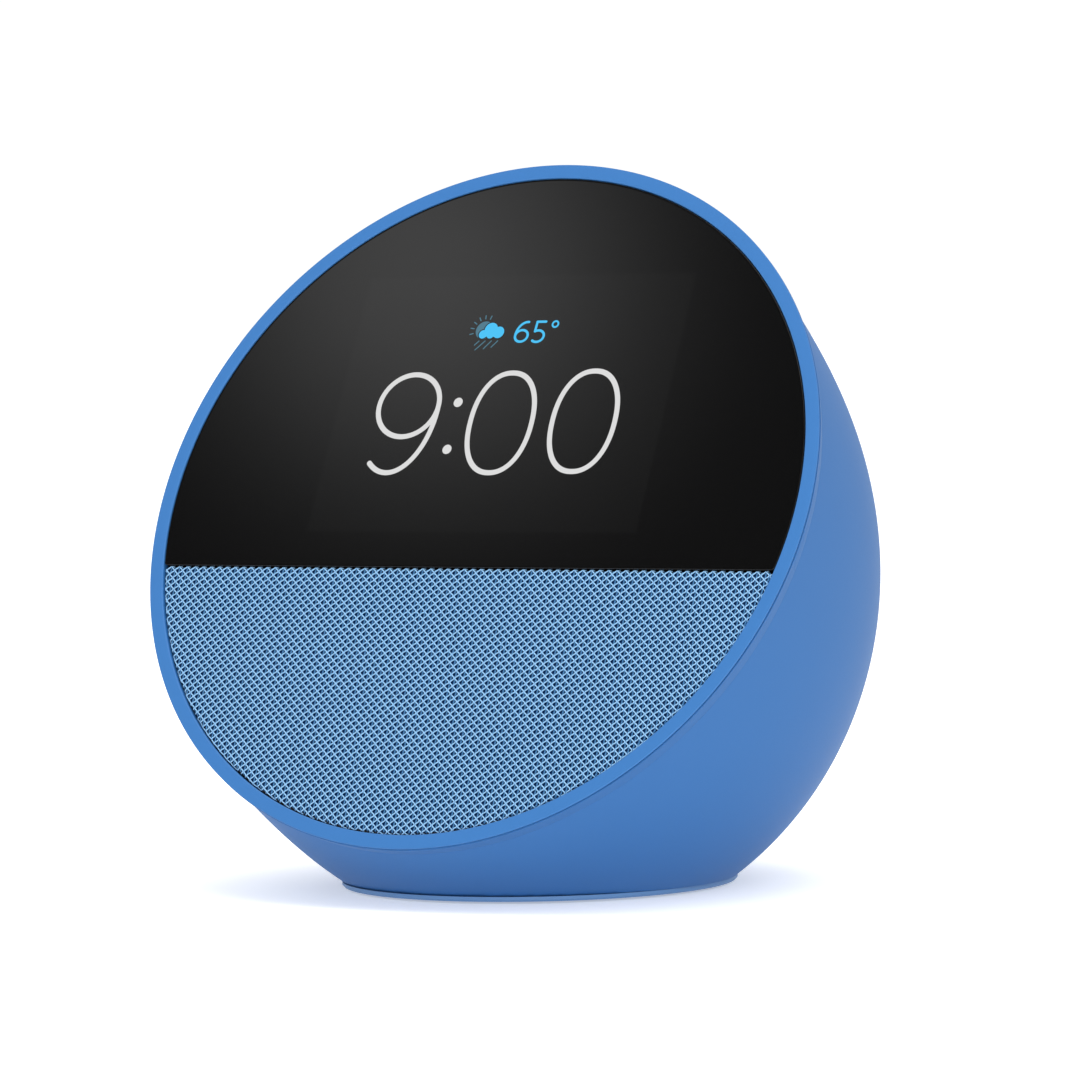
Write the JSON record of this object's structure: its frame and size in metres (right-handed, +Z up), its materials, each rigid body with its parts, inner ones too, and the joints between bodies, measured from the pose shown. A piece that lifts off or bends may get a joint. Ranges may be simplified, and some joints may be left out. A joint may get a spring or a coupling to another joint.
{
  "type": "smart display",
  "caption": "Table-top smart display: round leaning front with a glass picture window over a cloth speaker grille, in a rounded shell with top buttons and a rear power inlet.",
  "frame": {"origin": "on the table, under the middle of the object's bounding box", "axes": "+X along the width, -Y the way the front looks, +Z up"},
  "size_m": [0.1134, 0.0914, 0.1094],
  "materials": {
    "shell": "satin moulded plastic",
    "bezel": "satin moulded plastic",
    "glass": "gloss, black behind",
    "cloth": "open knit",
    "foam": "foam",
    "black_plastic": "fine grain",
    "lcd": "gloss",
    "white_plastic": "smooth",
    "board": "solder mask",
    "chip": "epoxy",
    "steel": "zinc plated",
    "tinned_steel": "tinned",
    "aluminium": "stamped",
    "ferrite": "sintered",
    "paper": "pressed pulp",
    "rubber": "matt",
    "wire": "insulation",
    "flex": "polyimide",
    "copper": "enamelled wire",
    "button": "satin moulded plastic"
  },
  "bodies": {
    "housing": {"rear_shell": "shell", "bezel_ring": "bezel", "cover_glass": "glass", "glass_tape": "foam", "grille_cloth": "cloth", "grille_plate": "black_plastic", "touch_film": "lcd", "lcd_cell": "lcd", "back_light": "white_plastic", "light_guide": "white_plastic", "front_chassis": "black_plastic", "chassis_screws": "steel", "speaker_basket": "steel", "speaker_gasket": "foam", "speaker_top_plate": "steel", "speaker_magnet": "ferrite", "speaker_yoke": "steel", "cone_surround": "rubber", "speaker_spider": "cloth", "speaker_screws": "steel", "speaker_terminals": "copper", "main_board": "board", "shield_can": "tinned_steel", "processor": "chip", "memory_chips": "chip", "thermal_pad": "foam", "heat_spreader": "aluminium", "board_screws": "steel", "board_connectors": "white_plastic", "power_coils": "ferrite", "radio_module": "tinned_steel", "aerials": "board", "lcd_flex": "flex", "speaker_wires": "wire", "inlet_wires": "wire", "button_flex": "flex", "button_board": "board", "tact_switches": "black_plastic", "microphones": "tinned_steel", "mic_boots": "rubber", "button_board_screws": "steel", "base_plate": "shell", "rubber_foot": "rubber", "base_weight": "steel", "base_screws": "steel", "power_inlet": "black_plastic", "inlet_pin": "copper", "inlet_board": "board", "inlet_screws": "steel"},
    "diaphragm": {"speaker_cone": "paper", "dust_cap": "paper", "voice_coil": "copper"},
    "volume_down": {"volume_down_button": "button", "volume_down_plunger": "black_plastic"},
    "mic_mute": {"mic_mute_button": "button", "mic_mute_plunger": "black_plastic"},
    "volume_up": {"volume_up_button": "button", "volume_up_plunger": "black_plastic"}
  },
  "joints": [
    {"name": "diaphragm_travel", "type": "slide", "parent": "housing", "child": "diaphragm", "axis": [0, -0.8846, 0.4664], "range_m": [-0.0015, 0.0015], "stiffness_N_per_m": 900, "deforming": ["cone_surround", "speaker_spider"]},
    {"name": "volume_down_press", "type": "slide", "parent": "housing", "child": "volume_down", "axis": [0, -0.6519, -0.7583], "range_m": [0, 0.0006], "stiffness_N_per_m": 1500, "springref_m": -0.0003},
    {"name": "mic_mute_press", "type": "slide", "parent": "housing", "child": "mic_mute", "axis": [0, -0.6519, -0.7583], "range_m": [0, 0.0006], "stiffness_N_per_m": 1500, "springref_m": -0.0003},
    {"name": "volume_up_press", "type": "slide", "parent": "housing", "child": "volume_up", "axis": [0, -0.6519, -0.7583], "range_m": [0, 0.0006], "stiffness_N_per_m": 1500, "springref_m": -0.0003}
  ]
}
